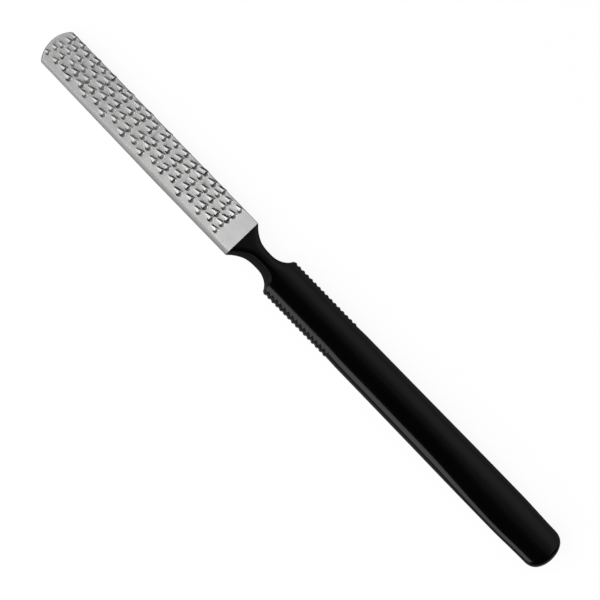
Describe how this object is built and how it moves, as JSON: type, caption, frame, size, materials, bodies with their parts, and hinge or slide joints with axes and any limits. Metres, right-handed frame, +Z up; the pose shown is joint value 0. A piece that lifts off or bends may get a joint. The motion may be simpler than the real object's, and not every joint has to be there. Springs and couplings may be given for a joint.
{
  "type": "foot file",
  "caption": "Foot file: a flat steel rasp blade with a rounded tip and staggered punched teeth, its tang bonded in a slim black handle with a narrow neck and a ribbed grip.",
  "frame": {"origin": "centre of the bounding box on the plane that the handle's flat sole rests on", "axes": "+X from the blade's tip to the handle's end, +Y across the width, +Z up out of the toothed face"},
  "size_m": [0.25, 0.0172, 0.0072],
  "materials": {
    "blade_steel": "satin stainless steel, bright on the tooth faces, dark in the pits",
    "resin": "set two-part resin, amber, hidden in the handle",
    "black_plastic": "semi-gloss moulded black plastic"
  },
  "bodies": {
    "root": {"rasp_blade": "blade_steel", "tang_adhesive": "resin", "handle": "black_plastic"}
  },
  "joints": []
}
